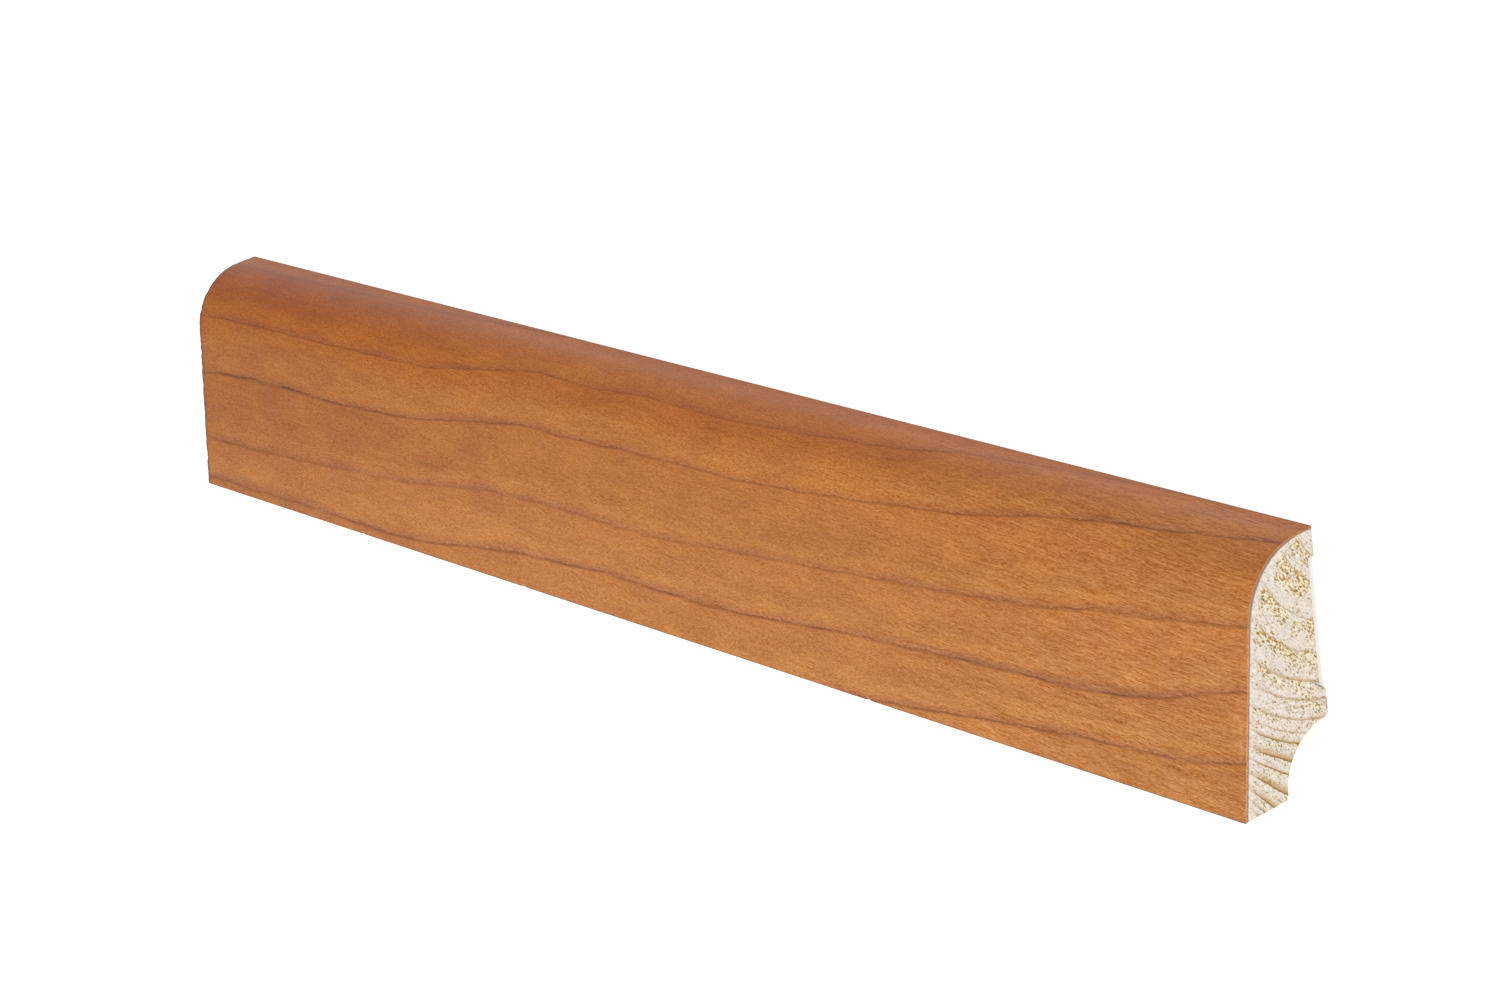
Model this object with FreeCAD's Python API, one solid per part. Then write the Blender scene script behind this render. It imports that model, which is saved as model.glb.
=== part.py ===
import FreeCAD, Part
import math
import os

# A length of veneered skirting board, sawn square at both ends and lying on its back.
# X runs along the length, Y up the board from its foot to its top edge, Z out from the wall.
# The back of the lip and of the rib lie on Z = 0, and the origin is the middle of the footprint.
# Everything is in millimetres, with angles in degrees.

# Overall sizes
board_length = 388.0
board_height = 58.0
board_thickness = 28.3

# Face: it runs straight from the foot's front edge up to a large round nose, then along a flat top
nose_radius = 16.5
top_flat_depth = 5.5
veneer_thickness = 0.6

# Back: a lip at the top hooks over a wall clip that sits in a shallow recess
lip_height = 6.8
recess_depth = 1.9

# Rib: it bears on the wall between the recess and the cable channel
rib_height = 7.4
rib_shoulder_angle = 60.0
rib_corner_radius = 1.2
rib_underside_flat = 0.3

# Cable channel: a quarter-round hollow between the rib and the foot
channel_radius = 12.9
foot_wall_flat = 0.15
foot_corner_radius = 1.1

# Heights and depths that follow from the sizes above
foot_back_depth = rib_corner_radius + rib_underside_flat + channel_radius
rib_underside_height = foot_corner_radius + foot_wall_flat + channel_radius
rib_shoulder_height = rib_underside_height + rib_height
lip_underside_height = board_height - lip_height


def face_lean():
    """Angle in radians between the face and the wall: the face is the line from the foot's front
    edge that just touches the nose circle."""
    rise = board_height - nose_radius
    setback = board_thickness - top_flat_depth
    to_nose_centre = math.atan2(setback, rise)
    return to_nose_centre - math.asin(nose_radius / math.hypot(rise, setback))


def face_corners(depth):
    """Corners (y, z, radius) of the face at a depth below its show surface, from the foot to the
    wall. The middle one is where the face meets the top, rounded by the nose."""
    lean = face_lean()
    foot_z = board_thickness - depth / math.cos(lean)
    top_y = board_height - depth
    nose_z = foot_z - top_y * math.tan(lean)
    return [(0.0, foot_z, 0.0), (top_y, nose_z, nose_radius - depth), (top_y, 0.0, 0.0)]


def back_corners():
    """Corners (y, z, radius) of the back, from the lip down to the foot."""
    shoulder_run = recess_depth / math.tan(math.radians(rib_shoulder_angle))
    return [
        (lip_underside_height, 0.0, 0.0),
        (lip_underside_height, recess_depth, 0.0),
        (rib_shoulder_height, recess_depth, 0.0),
        (rib_shoulder_height - shoulder_run, 0.0, rib_corner_radius),
        (rib_underside_height, 0.0, rib_corner_radius),
        (rib_underside_height, foot_back_depth, channel_radius),
        (0.0, foot_back_depth, foot_corner_radius),
    ]


def rounded_outline(corners):
    """Closed wire in the YZ plane through the corners, with each given radius as a tangent arc."""
    points = [FreeCAD.Vector(-board_length / 2, y - board_height / 2, z) for y, z, radius in corners]
    count = len(points)
    bends = []
    for index, (y, z, radius) in enumerate(corners):
        corner = points[index]
        back = (points[index - 1] - corner).normalize()
        ahead = (points[(index + 1) % count] - corner).normalize()
        if radius == 0:
            bends.append([corner])
            continue
        half_angle = back.getAngle(ahead) / 2
        bisector = (back + ahead).normalize()
        reach = radius / math.tan(half_angle)
        crown = corner + bisector * (radius / math.sin(half_angle) - radius)
        bends.append([corner + back * reach, crown, corner + ahead * reach])
    edges = []
    for index, bend in enumerate(bends):
        if len(bend) == 3:
            edges.append(Part.Arc(*bend).toShape())
        edges.append(Part.LineSegment(bend[-1], bends[(index + 1) % count][0]).toShape())
    return Part.Wire(edges)


def moulding(corners):
    """Solid of a section carried straight along the whole board."""
    return Part.Face(rounded_outline(corners)).extrude(FreeCAD.Vector(board_length, 0, 0))


def softwood_core():
    """Planed softwood strip: it has every form of the back, and its face lies under the veneer."""
    return moulding(face_corners(veneer_thickness) + back_corners())


def cherry_veneer():
    """Veneer sheet pressed over the face, the nose and the top, flush with the foot and the back."""
    return moulding(face_corners(0.0) + face_corners(veneer_thickness)[::-1])


pieces = {"softwood_core": softwood_core(), "cherry_veneer": cherry_veneer()}

os.makedirs("parts", exist_ok=True)
for name, piece in pieces.items():
    piece.exportStep("parts/" + name + ".step")
    print(name, "valid", piece.isValid(), "volume", round(piece.Volume / 1000, 2), "cm3")
print("face leans back", round(math.degrees(face_lean()), 2), "degrees")
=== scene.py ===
# %% [markdown]
# # A veneered skirting board
# This lesson dresses a sawn length of skirting: a pale softwood strip with a sheet of lacquered
# cherry veneer pressed over its face, round its nose and along its top. Both pieces are surfaces
# worked out with numpy, and their wood is a pattern that follows growth rings drawn in millimetres.

# %% The tools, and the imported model
import bpy
import math
import numpy as np
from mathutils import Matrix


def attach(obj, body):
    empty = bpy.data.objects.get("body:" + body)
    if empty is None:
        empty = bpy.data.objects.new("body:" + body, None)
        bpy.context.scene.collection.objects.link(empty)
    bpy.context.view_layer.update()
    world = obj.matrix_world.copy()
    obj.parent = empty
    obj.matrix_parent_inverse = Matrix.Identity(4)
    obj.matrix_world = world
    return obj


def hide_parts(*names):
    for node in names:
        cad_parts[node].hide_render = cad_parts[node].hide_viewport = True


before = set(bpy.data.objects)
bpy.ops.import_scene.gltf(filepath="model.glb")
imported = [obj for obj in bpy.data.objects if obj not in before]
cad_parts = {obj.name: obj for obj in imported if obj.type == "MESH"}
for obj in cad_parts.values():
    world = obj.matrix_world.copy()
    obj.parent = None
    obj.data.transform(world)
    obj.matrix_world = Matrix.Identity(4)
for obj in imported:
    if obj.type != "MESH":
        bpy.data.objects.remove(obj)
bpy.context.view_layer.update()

# %% [markdown]
# ## The sizes of the section
# A moulding is drawn as one section and carried along its length. These are the sizes of that
# section in millimetres. The board lies on its back: X runs along it, Y from the foot to the top
# edge, and Z out from the wall, so the show face looks up.

# %% Sizes in millimetres
MM = 0.001
board_length = 388.0
board_height = 58.0
board_thickness = 28.3
nose_radius = 16.5
top_flat_depth = 5.5
veneer_thickness = 0.6
lip_height = 6.8
recess_depth = 1.9
rib_height = 7.4
rib_shoulder_angle = 60.0
rib_corner_radius = 1.2
rib_underside_flat = 0.3
channel_radius = 12.9
foot_wall_flat = 0.15
foot_corner_radius = 1.1
half_length = board_length / 2
print(f"board {board_length:.0f} x {board_height:.0f} x {board_thickness} mm")

# %% [markdown]
# ## The show side, measured along the skin
# The veneer was one flat sheet before it was pressed round the board, so its grain is easiest to
# place by the distance up the sheet: from the foot up the leaning face, round the nose and back
# along the top. One function turns that distance into a point of the section. Over the last few
# millimetres at the foot, the level reach, the depth turns level with the floor.

# %% Distances up the skin
nose_centre = np.array([board_height - nose_radius, top_flat_depth])
setback = board_thickness - top_flat_depth
rise = board_height - nose_radius
lean = math.atan2(setback, rise) - math.asin(nose_radius / math.hypot(rise, setback))
face_length = math.sqrt(rise**2 + setback**2 - nose_radius**2)
nose_length = nose_radius * (math.pi / 2 - lean)
skin_length = face_length + nose_length + top_flat_depth
level_reach = 3.0
print(f"face {face_length:.1f} mm, nose {nose_length:.1f} mm, top {top_flat_depth:.1f} mm")


def skin_point(up, depth):
    """Section point (y, z) at a distance up the skin and a depth below it, both arrays in mm.

    The face is a straight line, the nose an arc about its centre and the top a straight line.
    The depth is taken at a right angle to the skin, except over the level reach at the foot, where
    it turns level so that the sheet ends flush with the floor."""
    up, depth = up[..., None], depth[..., None]
    turn = lean + np.clip((up - face_length) / nose_radius, 0, math.pi / 2 - lean)
    normal = np.concatenate([np.sin(turn), np.cos(turn)], axis=-1)
    up_the_face = np.array([math.cos(lean), -math.sin(lean)])
    on_face = np.array([0.0, board_thickness]) + up * up_the_face
    past_nose = np.maximum(up - face_length - nose_length, 0) * np.array([0.0, -1.0])
    on_nose = nose_centre + nose_radius * normal + past_nose
    outer = np.where(up < face_length, on_face, on_nose)
    level = np.clip(1 - up / level_reach, 0, 1) * math.tan(lean)
    return outer - depth * (normal - level * up_the_face)


# %% [markdown]
# ## A block from one function
# Both pieces are blocks bent into shape. Three parameters fill the block, and its skin is six
# grids of two parameters each. Counting the points that two grids share only once closes every
# seam, and the order of each quad's corners makes all faces look outwards. A bevelled and bent box
# would do for the shape, but here each point still knows its place in the wood.

# %% The skin of a block
def block_skin(a, b, c):
    """Quads, side numbers and the three parameters of each vertex, for the skin of a block.

    A side holds one parameter at its first or last value, and its quads join the neighbours in
    the other two. Points shared by two sides have one number."""
    steps = np.meshgrid(np.arange(len(a)), np.arange(len(b)), np.arange(len(c)), indexing="ij")
    on_skin = np.zeros(steps[0].shape, bool)
    for step, values in zip(steps, (a, b, c)):
        on_skin |= (step == 0) | (step == len(values) - 1)
    number = np.full(on_skin.shape, -1)
    number[on_skin] = np.arange(on_skin.sum())
    params = [values[step[on_skin]] for step, values in zip(steps, (a, b, c))]
    sides = (number[0], number[-1], number[:, 0], number[:, -1], number[:, :, 0], number[:, :, -1])
    quads = []
    for side, keep in zip(sides, (False, True, True, False, False, True)):
        corners = (side[:-1, :-1], side[1:, :-1], side[1:, 1:], side[:-1, 1:])
        quad = np.stack(corners, axis=-1).reshape(-1, 4)
        quads.append(quad if keep else quad[:, ::-1])
    side_number = np.repeat(np.arange(6), [len(quad) for quad in quads])
    return np.concatenate(quads), side_number, params


plain_box = block_skin(*[np.array([0.0, 1.0])] * 3)
print("a block with one cell has", len(plain_box[0]), "quads on its skin")


# %% A piece from points and quads
def make_piece(name, points, quads, material_number, values, maps):
    """Object made from points in mm and quads, with a float attribute for each array in values
    and a UV map for each array in maps, in mm. Edges sharper than 30 degrees stay crisp."""
    mesh = bpy.data.meshes.new(name)
    mesh.vertices.add(len(points))
    mesh.vertices.foreach_set("co", (points * MM).astype(np.float32).ravel())
    mesh.loops.add(quads.size)
    mesh.loops.foreach_set("vertex_index", quads.astype(np.int32).ravel())
    mesh.polygons.add(len(quads))
    mesh.polygons.foreach_set("loop_start", np.arange(0, quads.size, 4, dtype=np.int32))
    mesh.update(calc_edges=True)
    mesh.polygons.foreach_set("material_index", material_number.astype(np.int32))
    for title, value in values.items():
        attribute = mesh.attributes.new(title, "FLOAT", "POINT")
        attribute.data.foreach_set("value", value.astype(np.float32))
    for title, place in maps.items():
        uv = mesh.uv_layers.new(name=title)
        uv.uv.foreach_set("vector", (place * MM)[quads.ravel()].astype(np.float32).ravel())
    mesh.shade_smooth()
    mesh.set_sharp_from_angle(angle=math.radians(30))
    piece = bpy.data.objects.new(name, mesh)
    bpy.context.scene.collection.objects.link(piece)
    print(name, len(points), "points,", len(quads), "quads, sound", not mesh.validate())
    return piece


# %% [markdown]
# ## The growth lines of the veneer
# Plain-sliced cherry shows each year as a thin dark line that wanders along the sheet. The lines
# are drawn as a few points each, in millimetres along the board and up the skin. Between two lines
# the year is counted evenly, so one number, the ring, says where any point of the sheet lies in the
# tree: whole at a line and a half midway between two. The drawn lines are rounded over 14 mm, and on
# the sheet's map a year is 15 mm wide everywhere. Bands of noise would be quicker, but they don't
# bend together, as the lines of one tree do.

# %% Growth lines, from the foot upwards
growth_lines = [
    [(-230, -24), (0, -20), (76, -13), (124, -8), (194, 0), (230, 6)],
    [(-230, -10), (0, -6), (76, 0.5), (92, 2), (108, 4), (124, 5.7), (148, 8.2), (172, 9.7),
     (184, 11.2), (194, 13.7), (230, 22)],
    [(-230, 2.35), (-106, 2.85), (-90, 3.9), (-66, 7.5), (-50, 9), (-18, 11), (-6, 10.7), (14, 10.7),
     (30, 11.2), (62, 14.2), (94, 16.2), (126, 18.1), (142, 18.5), (158, 20), (170, 22.5), (182, 26.5),
     (194, 29.5), (230, 34)],
    [(-230, 12.5), (-162, 14.5), (-130, 16.5), (-98, 18.5), (-66, 23), (-34, 24), (-6, 23.5),
     (22, 25.5), (46, 27.5), (78, 30), (110, 32.5), (134, 35), (150, 38), (174, 41), (194, 43.5),
     (230, 48)],
    [(-230, 30), (-194, 32), (-184, 33.5), (-162, 34.5), (-130, 34.5), (-98, 36), (-82, 38.5),
     (-58, 42), (-50, 43), (-26, 43), (-10, 44), (30, 44.4), (54, 45.9), (78, 47.8), (110, 51.3),
     (130, 55), (150, 58), (166, 59.5), (194, 64), (230, 70)],
    [(-230, 47.3), (-194, 48.3), (-178, 49.2), (-138, 49.7), (-90, 50.7), (-74, 53.2), (-50, 57.2),
     (-30, 56.7), (-10, 58.2), (22, 57.7), (46, 59.2), (70, 61.3), (78, 61.8), (90, 64.8),
     (102, 67.4), (126, 70), (150, 72.5), (194, 76), (230, 80)],
    [(-230, 65.5), (-138, 68), (-98, 69.5), (-70, 72), (-40, 75), (230, 95)],
    [(-230, 82), (-98, 85), (-40, 91), (230, 112)],
]
drawn_reach = 230.0
line_rounding = 14
ring_spacing = 15.0
print(len(growth_lines), "growth lines over", board_length, "mm")


def line_heights(x):
    """Height up the skin of each growth line at each x: straight runs between the drawn points,
    rounded by a hump-weighted running mean."""
    even = np.arange(-drawn_reach, drawn_reach + 1)
    hump = np.hanning(line_rounding + 2)
    rows = []
    for line in growth_lines:
        at, height = np.array(line, float).T
        padded = np.pad(np.interp(even, at, height), line_rounding, mode="edge")
        rounded = np.convolve(padded, hump / hump.sum(), mode="same")
        rows.append(np.interp(x, even, rounded[line_rounding:-line_rounding]))
    return np.stack(rows)


def ring_field(x, up):
    """Ring number and ring width in mm at points of the sheet.

    The ring number adds up, for every gap between two lines, the share of the gap that lies below
    the point. The width goes evenly from the middle of one gap to the middle of the next."""
    heights = line_heights(x)
    gaps = np.diff(heights, axis=0)
    ring = np.clip((up - heights[:-1]) / gaps, 0, 1).sum(axis=0)
    middles = np.arange(1, len(gaps))[:, None] - 0.5
    width = gaps[0] + (np.diff(gaps, axis=0) * np.clip(ring - middles, 0, 1)).sum(axis=0)
    return ring, width


# %% [markdown]
# ## The veneer
# A sheet 0.6 mm thick. It is fine enough along its skin for the nose to look truly round, which
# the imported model's few facets can't do. Its outer edges are eased by less than a tenth of a
# millimetre. The saw has picked small chips out of the edge at both sawn ends, and three nicks have
# been knocked out of it along the foot.

# %% Steps along the sheet and up it, closer by the sawn ends and the nicks
edge_ease = 0.06


def inner_steps(length, step):
    """Parameter values over a length, evenly spaced, with one more just inside each end."""
    count = int(round(length / step))
    even = np.linspace(0, length, count + 1)[1:-1]
    return np.concatenate([[0, edge_ease], even, [length - edge_ease, length]])


end_rows = np.array([0.4, 0.8, 1.2, 1.6, 2.2])
nicks = np.array([-121.0, -52.0, 77.0])
nick_reach, nick_height, nick_deepest = 0.6, 0.7, 0.4
veneer_step_along, veneer_step_up = 3.0, 0.5
veneer_x = inner_steps(board_length, veneer_step_along) - half_length
veneer_x = np.unique(np.concatenate([
    veneer_x, end_rows - half_length, half_length - end_rows,
    (nicks[:, None] + nick_reach * np.linspace(-2, 2, 7)).ravel()]))
veneer_up = inner_steps(skin_length, veneer_step_up)
print("steps along and up the sheet", len(veneer_x) - 1, len(veneer_up) - 1)

# %% Saw chips and nicks
chance = np.random.default_rng(7)
chip_rarity, chip_depth, chip_run = 7, 0.5, 1.5
# A high power turns most random shares into nearly nothing, so only a few chips are deep.
chips = np.convolve(chance.random(len(veneer_up)) ** chip_rarity, [0.25, 0.5, 0.25], mode="same")
chips = chips * chip_depth
print(f"deepest saw chip {chips.max():.2f} mm")


def nick_depth(x, up):
    """Depth in mm of the nicks knocked out of the sheet along the foot: soft hollows about a
    millimetre wide that fade out up the face."""
    wide = np.exp(-((x[..., None] - nicks) / nick_reach) ** 2).sum(axis=-1)
    return nick_deepest * wide * np.clip(1 - up / nick_height, 0, 1)


# %% The veneer's surface
hair = 1e-6


def veneer_place(x, up, lift):
    """Points of the sheet in mm. Lift is 0 on the glued side and 1 on the show side. The show side
    drops by the ease along all edges, by the nicks at the foot, and by the chips at the sawn ends,
    which also run inwards. A point within a hair of an edge is on it."""
    end = np.abs(x) >= half_length - hair
    beside_end = (np.abs(x) > half_length - 2 * edge_ease) & ~end
    chip = np.interp(up, veneer_up, chips)
    rim = end | (up <= hair) | (up >= skin_length - hair)
    drop = np.where(rim, edge_ease, 0.0) + np.where(end, chip, 0.0) + nick_depth(x, up)
    depth = np.minimum(np.where(lift > 0.5, drop, veneer_thickness), veneer_thickness)
    yz = skin_point(up, depth)
    inward = np.where(beside_end & (lift > 0.5), chip_run * chip, 0.0)
    return np.stack([x - np.sign(x) * inward, yz[:, 0] - board_height / 2, yz[:, 1]], axis=-1)


veneer_quads, veneer_side, (sheet_x, sheet_up, sheet_lift) = block_skin(
    veneer_x, veneer_up, np.array([0.0, 1.0]))
veneer_ring, veneer_width = ring_field(sheet_x, sheet_up)
print("years on the sheet", math.ceil(veneer_ring.max() - veneer_ring.min()))

# %% [markdown]
# ## What is special about this sheet
# A growth line is darker here and thinner there, and a sheet has red and golden areas that no rule
# gives. They are laid on as soft dabs, given one by one. Each dab is a share, a centre and a reach,
# the last two in millimetres along the board and up the skin.
# Some dabs paint shade instead: along the nose, and at the far end.

# %% The growth lines' own darkness and breadth, from the foot upwards
line_number = range(len(growth_lines))
line_darkness = [0, 0.9, 0.95, 0.62, 0.9, 0.85, 0.5, 0.4]
line_breadth = [1, 1.1, 1.0, 1.05, 0.78, 0.6, 1.2, 1.2]
print("darkest line has", max(line_darkness), "and broadest", max(line_breadth))

# %% Dabs: redder wood, painted shade on the nose and at the far end, darker and broader lines, smoke, knots, lighter and darker patches, and a knock
# The long thin dab along the upper nose and the strong one on the nose at the far end are painted shade;
# the others make the wood redder.
red_and_nose_shade_dabs = [
    (0.16, (-165, 22), (65, 26)), (0.5, (-175, 59), (70, 8)), (0.3, (-25, 55), (14, 3)),
    (0.3, (10, 55), (16, 3.5)), (0.3, (80, 59), (25, 3.5)), (0.22, (-155, 67), (60, 4)),
    (0.08, (20, 64.5), (300, 4)), (0.08, (-130, 30), (60, 5)), (0.15, (200, 64), (14, 9)),
]
dark_dabs = [
    (0.3, (-165, 34), (40, 4)), (0.2, (140, 36), (35, 4)), (-0.2, (60, 46), (60, 4)),
    (-0.1, (160, 16), (40, 5)), (-0.1, (155, 8), (35, 3)), (-0.15, (-30, 24), (80, 5)),
    (0.25, (175, 61), (25, 4)), (0.12, (165, 41), (30, 5)), (-0.25, (-5, 57.5), (45, 3)),
    (-0.35, (-165, 2.5), (45, 3)),
]
broad_dabs = [
    (0.4, (150, 38), (50, 5)), (0.5, (-160, 33), (35, 4)), (-0.3, (30, 26), (35, 4)),
    (0.25, (-130, 2), (60, 3)), (-0.15, (90, 49), (30, 4)), (-0.15, (-60, 8), (50, 5)),
]
haze_dabs = [
    (-0.8, (60, 48), (75, 5)), (1.3, (140, 20), (60, 5)), (-0.5, (-20, 26), (90, 4)),
    (-0.8, (155, 9.5), (40, 3)), (0.6, (-160, 4), (50, 3)),
]
knot_dabs = [(0.8, (150, 58.2), (6, 0.8)), (0.5, (-77, 53.0), (5, 0.7)), (0.45, (140, 59.2), (8, 0.5))]
# Five small dabs in a row make a faint darker wisp between two growth lines.
wisp_reach = (6.5, 0.85)
# The first dab darkens the far end as painted shade, where less light falls; the others lighten or darken
# the wood in patches, and the last five make the wisp.
tone_and_shade_dabs = [
    (-0.06, (-185, 32), (60, 20)), (-0.05, (-170, 0), (60, 6)), (0.05, (110, 8), (60, 5)),
    (0.08, (90, 0), (110, 5)), (0.055, (60, 51), (75, 7)), (0.085, (160, 50.5), (45, 5)),
    (0.045, (-85, 14), (50, 6)), (0.045, (180, 2), (60, 3)), (-0.04, (-115, 66), (55, 4)),
    (-0.025, (-130, 33), (60, 4)), (0.015, (20, 22), (60, 5)), (-0.05, (200, 62), (14, 12)),
    (0.035, (-150, 12), (45, 6)), (-0.02, (100, 19), (90, 3)), (-0.1, (-117, 22.3), wisp_reach),
    (-0.1, (-106, 23.3), wisp_reach), (-0.1, (-96, 24.7), wisp_reach), (-0.1, (-86, 25.5), wisp_reach),
    (-0.1, (-75, 26.6), wisp_reach),
]
bruise_dabs = [(0.6, (192.5, 18.5), (0.5, 3.5)), (1, (191.5, 23.1), (0.7, 0.6))]


def dabbed(start, dabs):
    """The start value with each dab's share added at the points of the sheet. A dab fades as a bell
    curve of the distance from its centre, counted in reaches along the board and up the skin."""
    for share, (along, up), (reach_along, reach_up) in dabs:
        away = ((sheet_x - along) / reach_along) ** 2 + ((sheet_up - up) / reach_up) ** 2
        start = start + share * np.exp(-away)
    return start


# %% [markdown]
# ## The sheet's values at each point
# Each point keeps its ring and the sums of its dabs, for the material to read. A faint second line
# runs just above the fourth one. A thin dark line of painted shade marks the long edges and the far
# sawn one. Long fine streaks, the figure, show only towards the near end. The sheet's bare edge is
# darker round the nose, where the saw burnt it a little.

# %% Values for the sheet
plain_tone, plain_haze = 1.055, 0.85
twin_line, twin_reach, twin_dark = 3.28, 0.06, 0.035
far_edge_shade_width, long_edge_shade_width = 1.4, 0.5
figure_start, figure_reach = 95, 40
# A thin line of painted shade darkens the far sawn edge and the long edges.
far_edge_shade = np.clip(1 - (sheet_x + half_length) / far_edge_shade_width, 0, 1)
long_edge_shade = np.clip(1 - np.minimum(sheet_up, skin_length - sheet_up) / long_edge_shade_width, 0, 1)
veneer_values = {
    "ring": veneer_ring,
    "ring_width": veneer_width,
    "redness_and_nose_shade": dabbed(0, red_and_nose_shade_dabs),
    "line_dark": dabbed(np.interp(veneer_ring, line_number, line_darkness), dark_dabs),
    "line_width": dabbed(np.interp(veneer_ring, line_number, line_breadth), broad_dabs),
    "haze": dabbed(plain_haze, haze_dabs),
    "knot": dabbed(0, knot_dabs),
    "tone_and_painted_shade": dabbed(plain_tone, tone_and_shade_dabs) - 0.5 * far_edge_shade
    - twin_dark * np.exp(-(((veneer_ring - twin_line) / twin_reach) ** 2)),
    "figure": 0.5 + 0.5 * np.tanh((sheet_x - figure_start) / figure_reach),
    "bruise": dabbed(0, bruise_dabs) + 3 * nick_depth(sheet_x, sheet_up),
    "painted_edge_shade": np.maximum(long_edge_shade, far_edge_shade),
    "burnt": np.interp(sheet_up, [40, 54], [0.0, 0.35]),
}
print("values at each point", ", ".join(veneer_values))

# %% [markdown]
# ## The veneer as a piece
# Two flat maps in millimetres carry the wood's patterns. On the sheet map a pattern follows the
# growth lines. On the skin map it keeps its size and runs nearly along the board, as fibres do.

# %% The veneer's two maps and its mesh
show_side = 5
fibre_slope = 0.05
sheet_map = np.stack([sheet_x, veneer_ring * ring_spacing], axis=-1)
skin_map = np.stack([sheet_x, sheet_up + fibre_slope * sheet_x], axis=-1)
veneer = make_piece(
    "lacquered_cherry_sheet", veneer_place(sheet_x, sheet_up, sheet_lift), veneer_quads,
    np.where(veneer_side == show_side, 0, 1), veneer_values,
    {"sheet": sheet_map, "skin": skin_map},
)

# %% [markdown]
# ## The softwood strip
# The core is planed from one stick of spruce, and its rings show on the sawn ends as arcs about
# the heart of the tree, which lay outside the stick, above the wall side. The back is a chain of
# arcs and flats: foot corner, cable channel, rib, clip recess and lip.

# %% The back of the section
def arc(centre, radius, start, stop, steps):
    """Points (y, z) on an arc about a centre. Angle 0 points up the board and 90 to the face."""
    angle = np.radians(np.linspace(start, stop, steps))[:, None]
    return np.array(centre) + radius * np.concatenate([np.cos(angle), np.sin(angle)], axis=1)


foot_back_depth = rib_corner_radius + rib_underside_flat + channel_radius
rib_underside_height = foot_corner_radius + foot_wall_flat + channel_radius
shoulder_height = rib_underside_height + rib_height
shoulder_run = recess_depth / math.tan(math.radians(rib_shoulder_angle))
rib_top = shoulder_height - shoulder_run
rib_top_reach = rib_corner_radius * math.tan(math.radians(rib_shoulder_angle / 2))
ledge_height = board_height - lip_height
back_outline = np.concatenate([
    arc((foot_corner_radius, foot_back_depth + foot_corner_radius), foot_corner_radius, 180, 270, 7),
    arc((foot_corner_radius + foot_wall_flat, rib_corner_radius + rib_underside_flat),
        channel_radius, 90, 0, 40),
    arc((rib_underside_height + rib_corner_radius, rib_corner_radius), rib_corner_radius, 180, 270, 8),
    arc((rib_top - rib_top_reach, rib_corner_radius), rib_corner_radius, 270, 330, 6),
    [(shoulder_height, recess_depth), (ledge_height, recess_depth), (ledge_height, 0.0),
     (board_height - veneer_thickness, 0.0)],
])
print("back outline", len(back_outline), "points")


# %% The rows of the stick
back_step = 0.5


def walk(outline, step):
    """The outline with more points, none further apart than a step, and its own corners kept."""
    runs = np.linalg.norm(np.diff(outline, axis=0), axis=1)
    counts = np.maximum(np.ceil(runs / step).astype(int), 1)
    shares = [np.linspace(i, i + 1, count, endpoint=False) for i, count in enumerate(counts)]
    at = np.append(np.concatenate(shares), len(runs))
    whole = np.arange(len(outline))
    return np.stack([np.interp(at, whole, outline[:, 0]), np.interp(at, whole, outline[:, 1])], 1)


back_points = walk(back_outline, back_step)
share_up = np.linspace(0, 1, len(back_points))
front_points = skin_point(
    share_up * (face_length + nose_length), np.full(len(back_points), veneer_thickness))
print("section drawn with", len(back_points), "points up the board")

# %% [markdown]
# ## Rings about the heart
# On the sawn end a ring is nearly an arc about the heart, and the outer rings lean a little more
# steeply. The radii of the ring edges are read off the end in millimetres. The same field, let
# drift a little along the board, gives the long straight grain of the planed back.

# %% Ring edges of the core
heart = np.array([63.7, -12.6])
ring_radii = np.array([3, 11, 18.5, 23.3, 31, 37.8, 43.9, 48, 52.2, 54.8, 56.9, 60.5, 63, 66.3,
                       69.7, 71.8, 73.4, 76.5, 80])
ring_darkness = np.array([0.3, 0.3, 0.5, 0.5, 0.5, 0.5, 0.5, 0.5, 0.55, 0.4, 0.75, 0.85, 0.85,
                          0.85, 0.9, 0.75, 0.5, 0.7, 0.7])
ring_band = np.array([0.5, 0.5, 0.4, 0.5, 0.5, 0.7, 0.9, 0.9, 0.9, 0.6, 1.3, 2.0, 0.9, 2.1, 1.8,
                      0.8, 1, 1, 1])
even_drift, wave_drift = 1.6, (0.5, 0.8)
steep_radius = 48
print(len(ring_radii), "ring edges from", ring_radii[0], "to", ring_radii[-1], "mm from the heart")


def core_rings(x, y, z):
    """Radius from the heart in mm and distance round it, at points of the stick.

    The radius is the plain distance less a tilt: a slope that falls with the square of the radius
    past the steep radius, times the height over a line that moves out from the wall as the rings
    do. The heart drifts along the board, evenly and in slow waves."""
    along = (half_length - x) / board_length
    drift_y = even_drift * along + wave_drift[0] * np.sin(5.0 * along)
    drift_z = wave_drift[1] * np.sin(3.5 * along)
    from_heart_y, from_heart_z = y - heart[0] - drift_y, z - heart[1] - drift_z
    plain = np.hypot(from_heart_y, from_heart_z)
    tilt = 0.05 - 0.0008 * np.maximum(plain - steep_radius, 0) ** 2
    middle = np.interp(plain, [18, 38, 57, 73], [3, 11, 17, 24])
    radius = plain - tilt * (z - middle)
    return radius, np.arctan2(from_heart_z, -from_heart_y) * plain
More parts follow.
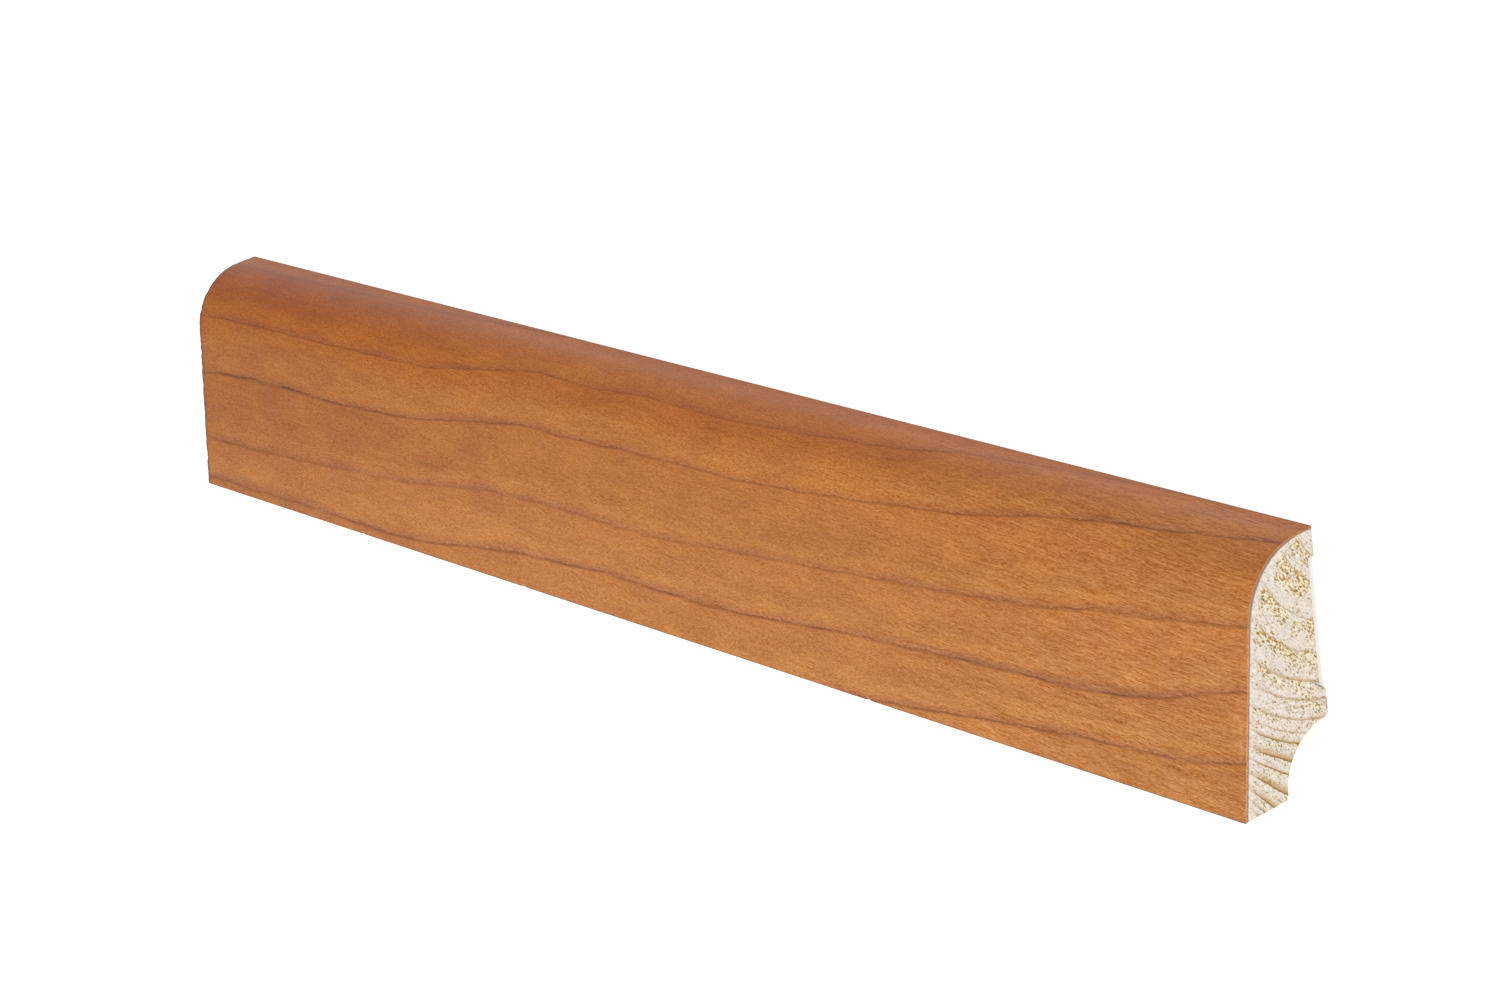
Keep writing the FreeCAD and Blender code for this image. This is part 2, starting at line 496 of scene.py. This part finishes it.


# %% [markdown]
# ## What the saw did to the sawn ends
# A saw tears the soft part of some years and leaves that of others calm. Neither follows a rule, so
# both are drawn as soft strokes that start and stop on the section and fade over a reach of their
# own, all in millimetres. The saw came through at a slant, and its marks lie along it.

# %% Torn and calm strokes
tears = [((53.5, 9.6), (47, 3.6), 1.2), ((50.6, 11.9), (44.8, 6), 1.7), ((56, 6.5), (51, 2.5), 1.4),
         ((48.1, 16), (41, 10.2), 1.6), ((39.5, 7.6), (36.5, 8.6), 1.4), ((38.5, 2), (34, 2.8), 1.5),
         ((40.4, 17.7), (37.2, 14), 1.2), ((35.8, 13.8), (31.2, 8.4), 1.6), ((31, 5.5), (25.5, 1.5), 1.6),
         ((32.2, 18.4), (27.1, 13.5), 1.0), ((26.8, 10.7), (22.2, 7.4), 1.1),
         ((26.5, 19.6), (19.5, 12), 0.8), ((22, 7), (17.5, 3.5), 1.2), ((15, 19.5), (13, 15.5), 0.6),
         ((7.5, 21.5), (6, 18.5), 0.6)]
calms = [((37.5, 12.9), (40.7, 5.1), 0.9), ((33.5, 7.8), (32.5, 7), 1.7), ((56.3, 2.6), (56, 2), 1.0),
         ((51.2, 15.6), (41.7, 7.8), 1.3), ((42, 4), (39.8, 3.6), 1.6), ((30.1, 15), (28, 11.5), 1.3),
         ((28, 21.5), (20.1, 13.5), 1.2)]
saw_slant = math.radians(48)
torn_share = 0.5
print(len(tears), "torn strokes and", len(calms), "calm ones")


def strokes(y, z, lines):
    """Soft strokes of 1 along straight lines on the section, each fading over its own reach in mm."""
    total = np.zeros(y.shape)
    for start, stop, reach in lines:
        run = np.subtract(stop, start)
        share = ((y - start[0]) * run[0] + (z - start[1]) * run[1]) / (run @ run)
        share = np.clip(share, 0, 1)
        away = np.hypot(y - start[0] - share * run[0], z - start[1] - share * run[1])
        total = np.maximum(total, np.exp(-((away / reach) ** 2)))
    return total


# %% [markdown]
# ## The strip as a piece
# Each row of the strip is a straight line from a point of the back to a point of the glued side, so
# one block covers it all, and its sawn ends are grids whose points know their ring. An extruded
# outline would have ends of one flat face, with nothing to hang the rings on.

# %% The core's surface
core_step_along, core_steps_across = 4.0, 40
core_x = inner_steps(board_length, core_step_along) - half_length
core_rows = np.arange(len(back_points), dtype=float)
core_across = np.linspace(0, 1, core_steps_across + 1)


def core_place(x, row, across):
    """Points of the stick in mm: a straight line for each row, from the back outline, across 0, to
    the glued side, across 1. At the sawn ends the back and the foot are eased."""
    yz = back_points[row] + across[:, None] * (front_points[row] - back_points[row])
    end = np.abs(x) >= half_length - hair
    width = np.linalg.norm(front_points[row] - back_points[row], axis=1)
    ease = np.where(end, edge_ease / width * np.clip(1 - across * width, 0, 1), 0.0)
    yz = yz + ease[:, None] * (front_points[row] - back_points[row])
    yz[:, 0] += np.where(end, edge_ease * np.clip(1 - yz[:, 0], 0, 1), 0.0)
    return np.stack([x, yz[:, 0] - board_height / 2, yz[:, 1]], axis=-1)


core_quads, core_side, (stick_x, stick_row, stick_across) = block_skin(core_x, core_rows, core_across)
row = stick_row.astype(int)
core_points = core_place(stick_x, row, stick_across)
core_y, core_z = core_points[:, 1] + board_height / 2, core_points[:, 2]
core_radius, core_round = core_rings(stick_x, core_y, core_z)
edges = np.arange(len(ring_radii))
core_ring = np.interp(core_radius, ring_radii, edges)
next_edge = np.clip(np.ceil(core_ring).astype(int), 0, edges[-1])
gap_to_skin = np.linalg.norm(front_points[row] - back_points[row], axis=1) * (1 - stick_across)

# %% The core's values at each point, and its mesh
core_values = {
    "ring": core_ring,
    "ring_width": np.interp(core_ring, edges[:-1] + 0.5, np.diff(ring_radii)),
    "late_dark": ring_darkness[next_edge],
    "late_band": ring_band[next_edge],
    "from_skin": gap_to_skin,
    "glue_width": np.interp(core_y, [30, 48], [0.5, 0.8]),
    "tear": torn_share * strokes(core_y, core_z, tears) - strokes(core_y, core_z, calms),
}
along_saw = core_y * math.sin(saw_slant) + core_z * math.cos(saw_slant)
across_saw = core_y * math.cos(saw_slant) - core_z * math.sin(saw_slant)
core = make_piece(
    "planed_spruce_strip", core_points, core_quads, np.where(core_side <= 1, 0, 1), core_values,
    {"sheet": np.stack([core_round, core_radius], axis=-1),
     "saw": np.stack([along_saw, across_saw], axis=-1)},
)

# %% [markdown]
# ## Colours and nodes
# Colours are written as they look on a screen, in hex, and one function turns them into the linear
# values that the shader wants. One more function adds a node with its settings and its links, and
# another lays colours over each other, as stain, dirt and glue lie on wood.

# %% Colours, nodes and materials
def colour(code):
    """Linear red, green, blue and alpha of an sRGB hex colour: the sRGB curve undone."""
    channels = [int(code[i:i + 2], 16) / 255 for i in (0, 2, 4)]
    linear = [c / 12.92 if c <= 0.04045 else ((c + 0.055) / 1.055) ** 2.4 for c in channels]
    return (*linear, 1.0)


def add(tree, kind, inputs=None, stops=(), **settings):
    """Adds a node. Inputs are values, outputs to link, or nodes whose first output is linked; stops
    fill a colour ramp."""
    made = tree.nodes.new("ShaderNode" + kind)
    for name, value in settings.items():
        setattr(made, name, value)
    for place, code in stops[2:]:
        made.color_ramp.elements.new(place)
    for element, (place, code) in zip(made.color_ramp.elements if stops else (), stops):
        element.position, element.color = place, colour(code)
    for name, value in (inputs or {}).items():
        if isinstance(value, bpy.types.Node):
            value = value.outputs[0]
        if isinstance(value, bpy.types.NodeSocket):
            tree.links.new(value, made.inputs[name])
        else:
            made.inputs[name].default_value = value
    return made


def new_material(name):
    """An empty node material and its tree."""
    material = bpy.data.materials.new(name)
    material.use_nodes = True
    material.node_tree.nodes.clear()
    return material, material.node_tree


# The Mix node keeps sockets for each kind of data, and these are the places of its colour sockets.
MIX_A, MIX_B, MIX_OUT = 6, 7, 2


def layered(tree, base, layers):
    """A base colour under layers. Each layer is an amount from 0 to 1 and a hex colour, and is mixed
    over all that lies below it."""
    for amount, code in layers:
        mixed = add(tree, "Mix", {0: amount, MIX_A: base, MIX_B: colour(code)}, data_type="RGBA")
        base = mixed.outputs[MIX_OUT]
    return base


print("middle grey on the screen is", round(colour("808080")[0], 3), "in linear light")

# %% [markdown]
# ## Patterns with a real size, and years
# Wood is full of soft spots that are long with the grain and short across it, so one function makes
# noise from two sizes in millimetres. Three finishes ask how far a point lies from the edge of its
# year, and two of them how dark the late wood is there, so both are worked out in one place.

# %% Noise with a size
off_grid = (0.3, 0.6, 0.4)


def wood_pattern(tree, place, along, across, detail=2.0):
    """Soft noise whose spots have a real size in mm, along the grain (X) and across it. It is moved
    by part of a spot, so that nothing falls on the noise's own even grid."""
    cells = (1 / (along * MM), 1 / (across * MM), 1 / (across * MM))
    stretched = add(tree, "VectorMath", {0: place, 1: cells, 2: off_grid}, operation="MULTIPLY_ADD")
    return add(tree, "TexNoise", {"Vector": stretched, "Scale": 1.0, "Detail": detail})


# %% Where a point lies in its year
def year_place(tree, ring, ring_width, wander):
    """Share of its year at each point, and the distance in mm on to the year's edge. The ring
    number is moved by the wander, and what it has past a whole number is the share."""
    ragged_ring = add(tree, "Math", {0: ring, 1: wander}, operation="ADD")
    share = add(tree, "Math", {0: ragged_ring}, operation="FRACT")
    rest = add(tree, "Math", {0: 1.0, 1: share}, operation="SUBTRACT")
    to_edge = add(tree, "Math", {0: rest, 1: ring_width}, operation="MULTIPLY")
    return share, to_edge


def late_wood(tree, to_edge, band, dark, reach, strength):
    """How much late wood shows: the strength at the year's edge, fading softly to 0 over the reach
    times the band's width in mm, and multiplied by the year's own darkness."""
    bands_off = add(tree, "Math", {0: to_edge, 1: band}, operation="DIVIDE")
    late = add(tree, "MapRange", {"Value": bands_off, "From Min": 0.0, "From Max": reach,
                                  "To Min": strength, "To Max": 0.0}, interpolation_type="SMOOTHSTEP")
    return add(tree, "Math", {0: late, 1: dark}, operation="MULTIPLY")


# %% [markdown]
# ## Lacquered cherry
# Cherry is fine and even. What the eye reads is the thin dark line of each year, sharp below and
# smoky above, a golden band over it, then a slow turn to red. Over that lie silky fibres a sixth of
# a millimetre wide and a millimetre long, which run along the board and not along the lines. Their
# lighter and darker streaks are partly grain and partly a painted sheen, standing for the glint of
# plain light on them, so they change red, green and blue alike. A satin lacquer, sprayed and dried,
# softens the highlight. A wave texture gives stripes that look the same on both sides. Distances
# from the drawn lines, in millimetres, give each side its own look.

# %% The cherry's maps, gently rippled, and the values that its points keep
cherry, tree = new_material("cherry_veneer_satin_lacquered")
flat_sheet = add(tree, "UVMap", uv_map="sheet")
flat_skin = add(tree, "UVMap", uv_map="skin")
ripple = wood_pattern(tree, flat_sheet, 7, 5)
sheet, skin = [add(tree, "VectorMath", {0: ripple, 1: (0, 1.6 * MM, 0), 2: flat},
                   operation="MULTIPLY_ADD") for flat in (flat_sheet, flat_skin)]
value = {name: add(tree, "Attribute", attribute_name=name).outputs["Fac"]
         for name in veneer_values if name != "burnt"}
print(cherry.name, "reads", ", ".join(value))

# %% Distances from the growth lines, which fray a little into the fibres
wander = add(tree, "MapRange", {"Value": wood_pattern(tree, flat_sheet, 7, 4, 5.0),
                                "To Min": -0.0725, "To Max": 0.0075})
fibre = wood_pattern(tree, skin, 0.9, 0.17)
hairy = add(tree, "Math", {0: fibre, 1: 0.065, 2: wander}, operation="MULTIPLY_ADD")
share, below = year_place(tree, value["ring"], value["ring_width"], hairy)
above = add(tree, "Math", {0: share, 1: value["ring_width"]}, operation="MULTIPLY")
print(len(tree.nodes), "nodes place a point between two lines")

# %% The year's slow change of colour, in millimetres above its line
year_share = add(tree, "Math", {0: value["ring"], 1: len(growth_lines)}, operation="DIVIDE")
year = add(tree, "ValToRGB", {"Fac": year_share}, stops=(
    (0.06, "C37F46"), (0.19, "C78046"), (0.31, "CA8146"), (0.44, "C0783D"), (0.55, "C2773A"),
    (0.66, "BE6A22"), (0.78, "B76629")))
season_reach = 20.0
above_share = add(tree, "Math", {0: above, 1: season_reach}, operation="DIVIDE")
season = add(tree, "ValToRGB", {"Fac": above_share}, stops=(
    (0.03, "E8E8FA"), (0.06, "EEF0FA"), (0.1, "F5FAF5"), (0.15, "F5FBF8"), (0.225, "F3F6F4"),
    (0.3, "F0F3F0"), (0.4, "F0F0F0"), (0.8, "EFEEED")))
aged = add(tree, "Mix", {0: 1.0, MIX_A: year, MIX_B: season}, data_type="RGBA", blend_type="MULTIPLY")
red = layered(tree, aged.outputs[MIX_OUT], [(value["redness_and_nose_shade"], "984A22")])
print("the season's colour turns over", season_reach, "mm")

# %% Mottle, streaks, and silky fibres with a painted sheen
mottle = wood_pattern(tree, sheet, 14, 4.5, 3.0)
streak = wood_pattern(tree, skin, 13, 0.6, 3.0)
tint = add(tree, "ValToRGB", {"Fac": mottle}, stops=((0.35, "F4F0F6"), (0.5, "FAF8F8"), (0.65, "FFFEF4")))
tinted = add(tree, "Mix", {0: 1.0, MIX_A: red, MIX_B: tint}, data_type="RGBA", blend_type="MULTIPLY")
long_fibre = wood_pattern(tree, skin, 4.5, 0.24)
waves = [add(tree, "MapRange", {"Value": noise, "From Min": 0.25, "From Max": 0.75, "To Min": -reach,
                                "To Max": reach}, clamp=False)
         for noise, reach in ((mottle, 0.035), (streak, 0.07), (fibre, 0.28), (long_fibre, 0.24))]
mottled = add(tree, "Math", {0: value["tone_and_painted_shade"], 1: waves[0], 2: value["tone_and_painted_shade"]}, operation="MULTIPLY_ADD")
broad = add(tree, "VectorMath", {0: tinted.outputs[MIX_OUT], "Scale": mottled}, operation="SCALE")
fibre_and_sheen_waves = add(tree, "Math", {0: waves[1], 1: waves[2]}, operation="ADD")
fibre_and_sheen_waves = add(tree, "Math", {0: waves[3], 1: value["figure"], 2: fibre_and_sheen_waves}, operation="MULTIPLY_ADD")
# Grain and painted sheen of the fibres. The wood has most red and least blue, so an equal change on
# the screen is a larger share of blue.
fibre_grain_and_painted_sheen = add(tree, "VectorMath", {0: fibre_and_sheen_waves, 1: (0.95, 1.7, 3.1), 2: (1.0, 1.0, 1.0)},
            operation="MULTIPLY_ADD")
fibre_grain_and_painted_sheen = add(tree, "VectorMath", {0: fibre_grain_and_painted_sheen, 1: (0.15, 0.15, 0.15)}, operation="MAXIMUM")
wood_with_painted_sheen = add(tree, "VectorMath", {0: broad, 1: fibre_grain_and_painted_sheen}, operation="MULTIPLY")
print(len(waves), "patterns shade the wood")

# %% The dark line and the smoke above it
sides = [(above, 0.0, 0.25), (below, 0.1, 0.95)]
line_sides = []
for distance, full, gone in sides:
    reach = add(tree, "Math", {0: distance, 1: value["line_width"]}, operation="DIVIDE")
    line_sides.append(add(tree, "MapRange", {
        "Value": reach, "From Min": full, "From Max": gone, "To Min": 1.0,
        "To Max": 0.0}, interpolation_type="SMOOTHSTEP"))
line = add(tree, "Math", {0: line_sides[0], 1: line_sides[1]}, operation="MAXIMUM")
line = add(tree, "Math", {0: line, 1: value["line_dark"]}, operation="MULTIPLY")
fade = add(tree, "MapRange", {"Value": wood_pattern(tree, sheet, 9, 0.9, 5.0), "From Min": 0.35,
                              "From Max": 0.62, "To Min": 0.25, "To Max": 0.75})
line = add(tree, "Math", {0: line, 1: fade}, operation="MULTIPLY")
knot = add(tree, "Math", {0: value["knot"], 1: fade}, operation="MULTIPLY")
line = add(tree, "Math", {0: line, 1: knot}, operation="ADD", use_clamp=True)
smoke = add(tree, "MapRange", {"Value": above, "From Min": 0.3, "From Max": 3.0, "To Min": 0.6,
                               "To Max": 0.0})
smoke = add(tree, "Math", {0: smoke, 1: value["haze"]}, operation="MULTIPLY")
wisps = add(tree, "MapRange", {"Value": wood_pattern(tree, sheet, 22, 1.1, 3.0), "From Min": 0.35,
                               "From Max": 0.65, "To Min": 0.05, "To Max": 0.4})
smoke = add(tree, "Math", {0: smoke, 1: wisps}, operation="MULTIPLY")
lined = layered(tree, wood_with_painted_sheen, [(smoke, "7E5444"), (line, "5E2E1E")])
print("a line fades over", sides[0][2], "mm above and", sides[1][2], "mm below")

# %% A bruise by the sawn end, a few pale specks of dust in the lacquer, and painted shade along the edges
rough = add(tree, "MapRange", {"Value": wood_pattern(tree, flat_sheet, 0.7, 0.9), "From Min": 0.42,
                               "From Max": 0.62, "To Min": 0.3})
bruise = add(tree, "Math", {0: value["bruise"], 1: rough}, operation="MULTIPLY")
specks_per_metre = 28.0
dust = add(tree, "TexVoronoi", {"Vector": flat_sheet, "Scale": specks_per_metre},
           voronoi_dimensions="2D")
speck = add(tree, "MapRange", {"Value": dust.outputs["Distance"], "From Min": 0.003,
                               "From Max": 0.007, "To Min": 0.8, "To Max": 0.0})
pale = add(tree, "Math", {0: bruise, 1: speck}, operation="MAXIMUM")
# Painted shade along the long edges and the far sawn edge.
painted_edge_shade = add(tree, "Math", {0: value["painted_edge_shade"], 1: 0.5}, operation="MULTIPLY")
marked = layered(tree, lined, [(pale, "E8A474"), (painted_edge_shade, "666868")])
print("specks of dust about", round(1000 / specks_per_metre), "mm apart")

# %% Satin lacquer over it
bump = add(tree, "Bump", {"Height": fibre, "Strength": 0.25, "Distance": 0.05 * MM})
gloss = add(tree, "MapRange", {"Value": streak, "To Min": 0.36, "To Max": 0.48})
wood = add(tree, "BsdfPrincipled", {
    "Base Color": marked, "Roughness": gloss, "IOR": 1.5,
    "Specular IOR Level": 0.15, "Normal": bump})
add(tree, "OutputMaterial", {"Surface": wood})
print(cherry.name, "has", len(tree.nodes), "nodes")

# %% [markdown]
# ## The veneer's bare edge
# Where the sheet ends, bare cherry shows as a tan line, a little fuzzy from the saw and darker round
# the nose.

# %% Bare edge
bare_edge, tree = new_material("cherry_veneer_sawn_edge")
place = add(tree, "TexCoord").outputs["Object"]
fuzz_per_metre = 1400.0
fuzz = add(tree, "TexNoise", {"Vector": place, "Scale": fuzz_per_metre, "Detail": 2.0})
tan = add(tree, "ValToRGB", {"Fac": fuzz}, stops=((0.3, "AC7548"), (0.7, "D4A274")))
burnt = add(tree, "Attribute", attribute_name="burnt").outputs["Fac"]
darkened = layered(tree, tan, [(burnt, "6E4634")])
edge = add(tree, "BsdfPrincipled", {"Base Color": darkened, "Roughness": 0.75})
add(tree, "OutputMaterial", {"Surface": edge})
print(bare_edge.name, "has", len(tree.nodes), "nodes")

# %% [markdown]
# ## Sawn end grain of spruce
# Just past each year's edge the early wood is soft, and the saw tears it into pits and torn fibres
# that lie along its slant. Their colour is painted shade, dark golden in the pits, and painted
# highlights, nearly white on the fibres that catch the light. Later in the year the wood is smooth and
# pale, then golden brown in the dense late wood, which stops at a hard edge and is darker away from
# the veneer. Beside the veneer lies a pale pressed band with few flecks, and a thin dark line of glue
# that widens up the nose. The pits are too shallow to see in outline, so painted shade and
# highlights in the colour, with a bump, stand for them.

# %% The end grain's coordinates
end_grain, tree = new_material("spruce_end_grain_sawn")
rings_map = add(tree, "UVMap", uv_map="sheet")
saw_map = add(tree, "UVMap", uv_map="saw")
value = {name: add(tree, "Attribute", attribute_name=name).outputs["Fac"] for name in core_values}
from_skin = value["from_skin"]
wander = add(tree, "MapRange", {"Value": wood_pattern(tree, rings_map, 2.5, 2.5, 4.0),
                                "To Min": -0.1, "To Max": 0.1})
share, to_edge = year_place(tree, value["ring"], value["ring_width"], wander)
print(end_grain.name, "reads", ", ".join(value))

# %% Late wood, darkest at the year's edge and away from the veneer
deep = add(tree, "MapRange", {"Value": from_skin, "From Min": 0.5, "From Max": 6.0, "To Min": 0.3})
late_dark = add(tree, "Math", {0: value["late_dark"], 1: deep}, operation="MULTIPLY")
late = late_wood(tree, to_edge, value["late_band"], late_dark, 1.0, 1.0)
hard = add(tree, "MapRange", {"Value": to_edge, "From Min": 0.15, "From Max": 0.5, "To Min": 1.0,
                              "To Max": 0.0}, interpolation_type="SMOOTHSTEP")
# The hard edge is darkened twice by the year's darkness, so it hardly shows in pale years.
for darkness in (late_dark, late_dark):
    hard = add(tree, "Math", {0: hard, 1: darkness}, operation="MULTIPLY")
print("late wood takes", len(tree.nodes), "nodes so far")

# %% Torn flecks in the early wood: the more the wood is torn, the lower the fleck pattern is cut
fleck = wood_pattern(tree, saw_map, 0.9, 0.42)
crumb = wood_pattern(tree, saw_map, 0.8, 0.36)
patch = wood_pattern(tree, rings_map, 5, 2.5)
early = add(tree, "ValToRGB", {"Fac": share}, stops=(
    (0.0, "E6E6E6"), (0.15, "E0E0E0"), (0.3, "C4C4C4"), (0.5, "A4A4A4"), (0.65, "5C5C5C"),
    (0.8, "000000"), (0.95, "808080")))
near_skin = add(tree, "MapRange", {"Value": from_skin, "From Min": 0.9, "From Max": 3.0})
patchy = add(tree, "MapRange", {"Value": patch, "From Min": 0.35, "From Max": 0.6,
                                "To Min": 0.3, "To Max": 0.85})
by_foot = add(tree, "MapRange", {"Value": value["ring"], "From Min": 2.5, "From Max": 11.0,
                                 "To Min": 1.0, "To Max": 0.55})
torn = early
for part in (near_skin, by_foot, patchy):
    torn = add(tree, "Math", {0: torn, 1: part}, operation="MULTIPLY")
torn = add(tree, "Math", {0: torn, 1: value["tear"]}, operation="ADD", use_clamp=True)
heap = add(tree, "Math", {0: torn, 1: 0.3, 2: fleck}, operation="MULTIPLY_ADD")
torn_fleck_mask = add(tree, "MapRange", {"Value": heap, "From Min": 0.575, "From Max": 0.66})
print("flecks and crumbs take", len(tree.nodes), "nodes so far")

# %% End grain colours
smooth = add(tree, "ValToRGB", {"Fac": crumb}, stops=(
    (0.34, "D4C8BA"), (0.5, "E2D7CA"), (0.66, "F0E7DD")))
# Painted shade and highlights of the torn flecks: dark golden in the pits, nearly white on the fibres
# that catch the light.
fleck_shade_and_highlight = add(tree, "ValToRGB", {"Fac": crumb}, stops=(
    (0.34, "7C5C28"), (0.42, "AE884A"), (0.48, "D8B880"), (0.54, "ECDAB6"), (0.62, "F8F0E2")))
flecked = add(tree, "Mix", {0: torn_fleck_mask, MIX_A: smooth, MIX_B: fleck_shade_and_highlight}, data_type="RGBA")
pale = add(tree, "MapRange", {"Value": from_skin, "From Min": 0.7, "From Max": 2.2,
                              "To Min": 0.35, "To Max": 0.0})
glue_share = add(tree, "Math", {0: from_skin, 1: value["glue_width"]}, operation="DIVIDE")
glue = add(tree, "MapRange", {"Value": glue_share, "From Min": 0.3, "From Max": 1.0,
                              "To Min": 0.9, "To Max": 0.0})
glued = layered(tree, flecked.outputs[MIX_OUT], [
    (pale, "ECE6E0"), (late, "B8893A"), (hard, "84601C"), (glue, "8A5A3C")])
pit = add(tree, "Math", {0: 1.0, 1: torn_fleck_mask}, operation="SUBTRACT")
bump = add(tree, "Bump", {"Height": pit, "Strength": 0.6, "Distance": 0.2 * MM})
end_wood = add(tree, "BsdfPrincipled", {"Base Color": glued, "Roughness": 0.85, "Normal": bump})
add(tree, "OutputMaterial", {"Surface": end_wood})
print(end_grain.name, "has", len(tree.nodes), "nodes")

# %% [markdown]
# ## Planed spruce
# The back and the foot were planed along the grain. The same rings cross them as long straight
# bands of cream early wood and golden late wood, with fine fibres a few centimetres long.

# %% Planed faces
planed, tree = new_material("spruce_planed")
place = add(tree, "TexCoord").outputs["Object"]
value = {name: add(tree, "Attribute", attribute_name=name).outputs["Fac"]
         for name in ("ring", "ring_width", "late_dark", "late_band")}
wander = add(tree, "MapRange", {"Value": wood_pattern(tree, place, 45, 4, 3.0),
                                "To Min": -0.08, "To Max": 0.08})
to_edge = year_place(tree, value["ring"], value["ring_width"], wander)[1]
late = late_wood(tree, to_edge, value["late_band"], value["late_dark"], 1.3, 0.85)
fine = wood_pattern(tree, place, 17, 0.4)
cream = add(tree, "ValToRGB", {"Fac": fine}, stops=((0.3, "DCC6A2"), (0.7, "EBDCC2")))
banded = layered(tree, cream, [(late, "C0935B")])
bump = add(tree, "Bump", {"Height": fine, "Strength": 0.3, "Distance": 0.1 * MM})
planed_wood = add(tree, "BsdfPrincipled", {"Base Color": banded, "Roughness": 0.7, "Normal": bump})
add(tree, "OutputMaterial", {"Surface": planed_wood})
print(planed.name, "has", len(tree.nodes), "nodes")

# %% [markdown]
# ## Dressing the frame
# Each new piece takes the place of its imported node and rides on the one body of the board.

# %% Materials and places
for material in (cherry, bare_edge):
    veneer.data.materials.append(material)
for material in (end_grain, planed):
    core.data.materials.append(material)
for piece, node, slot in ((veneer, "cherry_veneer", "cherry_veneer"),
                          (core, "softwood_core", "softwood")):
    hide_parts(node)
    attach(piece, "root")
    print(piece.name, "replaces", node)

# %% [markdown]
# ## A pale studio
# The floor is a plain white sheet. The camera and any mirror-like surface see the surroundings as
# pure white, while the light that falls on the board stays at a plain level. So a function tells
# rays that look straight at something from those that only carry light. The floor's own glow grows
# a little with the distance from the board, where the lamps reach it less.

# %% Rays that look straight at something
def seen_directly(tree):
    """1 for rays from the camera, a mirror or glass, and 0 for the rays of soft light."""
    ray = add(tree, "LightPath")
    direct = ray.outputs["Is Camera Ray"]
    for kind in ("Is Glossy Ray", "Is Transmission Ray"):
        direct = add(tree, "Math", {0: direct, 1: ray.outputs[kind]}, operation="MAXIMUM")
    return direct


# %% Floor
def flat_square(name, half, height):
    """A level square with its middle at the origin, at a height, all in metres."""
    corners = np.array([(-half, -half, height), (half, -half, height), (half, half, height),
                        (-half, half, height)])
    mesh = bpy.data.meshes.new(name)
    mesh.from_pydata(corners.tolist(), [], [(0, 1, 2, 3)])
    square = bpy.data.objects.new(name, mesh)
    bpy.context.scene.collection.objects.link(square)
    return square


floor_half = 12.0
floor = flat_square("studio_floor", floor_half, 0.0)
paper, tree = new_material("white_paper_floor")
matte = add(tree, "BsdfDiffuse", {"Color": colour("F4F4F4")})
far = add(tree, "VectorMath", {0: add(tree, "TexCoord").outputs["Object"]}, operation="LENGTH")
strength = add(tree, "MapRange", {"Value": far.outputs["Value"], "From Min": 0.2, "From Max": 2.5,
                                  "To Min": 0.5, "To Max": 0.75})
lift = add(tree, "Emission", {"Color": (1, 1, 1, 1), "Strength": strength})
dark = add(tree, "Emission", {"Strength": 0.0})
glow = add(tree, "MixShader", {0: seen_directly(tree), 1: dark, 2: lift})
both = add(tree, "AddShader", {0: matte, 1: glow})
add(tree, "OutputMaterial", {"Surface": both})
floor.data.materials.append(paper)
print("floor", 2 * floor_half, "m square")

# %% Surroundings
world = bpy.data.worlds.new("white_studio")
bpy.context.scene.world = world
world.use_nodes = True
tree = world.node_tree
tree.nodes.clear()
level = add(tree, "MapRange", {"Value": seen_directly(tree), "To Min": 0.5, "To Max": 1.0})
sky = add(tree, "Background", {"Color": (1, 1, 1, 1), "Strength": level})
add(tree, "OutputWorld", {"Surface": sky})
print(world.name, "has", len(tree.nodes), "nodes")

# %% Soft boxes
def soft_box(name, place, aim, size, power):
    """A square area lamp at a place, facing a point, with its side in metres and power in watts."""
    lamp = bpy.data.lights.new(name, "AREA")
    lamp.size, lamp.energy = size, power
    holder = bpy.data.objects.new(name, lamp)
    holder.location = place
    away = np.array(place) - np.array(aim)
    holder.rotation_euler = (math.atan2(math.hypot(away[0], away[1]), away[2]), 0,
                             math.atan2(away[0], -away[1]))
    bpy.context.scene.collection.objects.link(holder)
    print(name, power, "W,", size, "m wide")


soft_box("key_box", (0.3, 0.1, 1.3), (0, 0, 0), 1.2, 10.0)
soft_box("end_box", (1.35, -0.1, 0.4), (0.15, 0, 0), 0.8, 4.5)

# %% [markdown]
# ## The camera
# A long lens about a metre away, looking down on the board. It is rolled, so that the board stands
# upright in the picture although it lies on its back. Its place and turn were fitted to the long
# edges and the sawn end of the real board.

# %% Camera
eye = bpy.data.cameras.new("product_camera")
eye.sensor_width = 36.0
eye.lens = 99.34
eye.clip_start, eye.clip_end = 0.05, 60.0
camera = bpy.data.objects.new("product_camera", eye)
camera.location = (0.74984, 0.36035, 0.59311)
camera.rotation_euler = [math.radians(angle) for angle in (-29.501, 47.834, -11.289)]
bpy.context.scene.collection.objects.link(camera)
bpy.context.scene.camera = camera
bpy.context.scene.view_settings.view_transform = "Standard"
print("camera", round(camera.location.length, 3), "m from the middle of the board")
